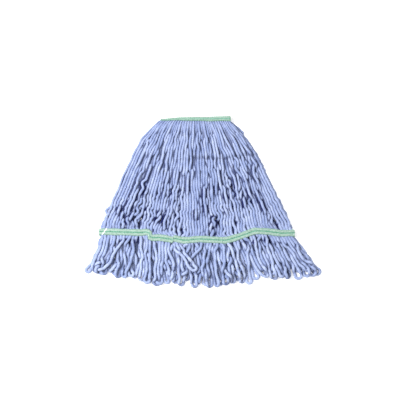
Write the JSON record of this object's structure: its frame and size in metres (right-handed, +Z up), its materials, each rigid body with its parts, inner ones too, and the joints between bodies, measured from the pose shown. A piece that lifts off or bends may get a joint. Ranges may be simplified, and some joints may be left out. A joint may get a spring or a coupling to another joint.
{
  "type": "looped-end string mop head",
  "caption": "Wet mop head of blue looped yarn folded double at a narrow green headband, with a green tail band sewn across each half above the loops.",
  "frame": {"origin": "middle of the head's footprint as it lies flat, on the surface that it lies on", "axes": "+X across the width, +Y from the loops towards the headband, +Z up from the surface"},
  "size_m": [0.562, 0.42, 0.0196],
  "materials": {
    "yarn": "matte four-ply mop yarn, periwinkle blue",
    "tape": "woven ribbed tape, mint green",
    "backing_tape": "plain woven backing tape, mint green",
    "thread": "twisted sewing thread, darker green"
  },
  "bodies": {
    "back_half": {"back_yarn_bundle_01": "yarn", "back_yarn_bundle_02": "yarn", "back_yarn_bundle_03": "yarn", "back_yarn_bundle_04": "yarn", "back_yarn_bundle_05": "yarn", "back_yarn_bundle_06": "yarn", "back_yarn_bundle_07": "yarn", "back_yarn_bundle_08": "yarn", "back_yarn_bundle_09": "yarn", "back_yarn_bundle_10": "yarn", "headband_folded_yarn": "yarn", "headband_outer_tape_fold": "tape", "headband_outer_tape_back": "tape", "headband_inner_tape_fold": "backing_tape", "headband_inner_tape_back": "backing_tape", "headband_stitching_fold": "thread", "headband_stitching_back": "thread", "back_tail_tape_face": "tape", "back_tail_tape_backing": "backing_tape", "back_tail_stitching": "thread"},
    "front_half": {"front_yarn_bundle_01": "yarn", "front_yarn_bundle_02": "yarn", "front_yarn_bundle_03": "yarn", "front_yarn_bundle_04": "yarn", "front_yarn_bundle_05": "yarn", "front_yarn_bundle_06": "yarn", "front_yarn_bundle_07": "yarn", "front_yarn_bundle_08": "yarn", "front_yarn_bundle_09": "yarn", "front_yarn_bundle_10": "yarn", "headband_outer_tape_front": "tape", "headband_inner_tape_front": "backing_tape", "headband_stitching_front": "thread", "front_tail_tape_face": "tape", "front_tail_tape_backing": "backing_tape", "front_tail_stitching": "thread"},
    "front_fringe": {"front_fringe_bundle_01": "yarn", "front_fringe_bundle_02": "yarn", "front_fringe_bundle_03": "yarn", "front_fringe_bundle_04": "yarn", "front_fringe_bundle_05": "yarn", "front_fringe_bundle_06": "yarn", "front_fringe_bundle_07": "yarn", "front_fringe_bundle_08": "yarn", "front_fringe_bundle_09": "yarn", "front_fringe_bundle_10": "yarn"},
    "back_fringe": {"back_fringe_bundle_01": "yarn", "back_fringe_bundle_02": "yarn", "back_fringe_bundle_03": "yarn", "back_fringe_bundle_04": "yarn", "back_fringe_bundle_05": "yarn", "back_fringe_bundle_06": "yarn", "back_fringe_bundle_07": "yarn", "back_fringe_bundle_08": "yarn", "back_fringe_bundle_09": "yarn", "back_fringe_bundle_10": "yarn"}
  },
  "joints": [
    {"name": "halves_open", "type": "hinge", "parent": "back_half", "child": "front_half", "pos_m": [-0.023, 0.2002, 0.0098], "axis": [-1, 0, 0], "range_deg": [0, 160], "deforming": ["headband_outer_tape_fold", "headband_inner_tape_fold", "headband_folded_yarn", "headband_stitching_fold"]},
    {"name": "front_fringe_lift", "type": "hinge", "parent": "front_half", "child": "front_fringe", "pos_m": [-0.02, -0.105, 0.0136], "axis": [-1, 0, 0], "range_deg": [0, 60]},
    {"name": "back_fringe_swing", "type": "hinge", "parent": "back_half", "child": "back_fringe", "pos_m": [-0.02, -0.105, 0], "axis": [1, 0, 0], "range_deg": [0, 60]}
  ]
}
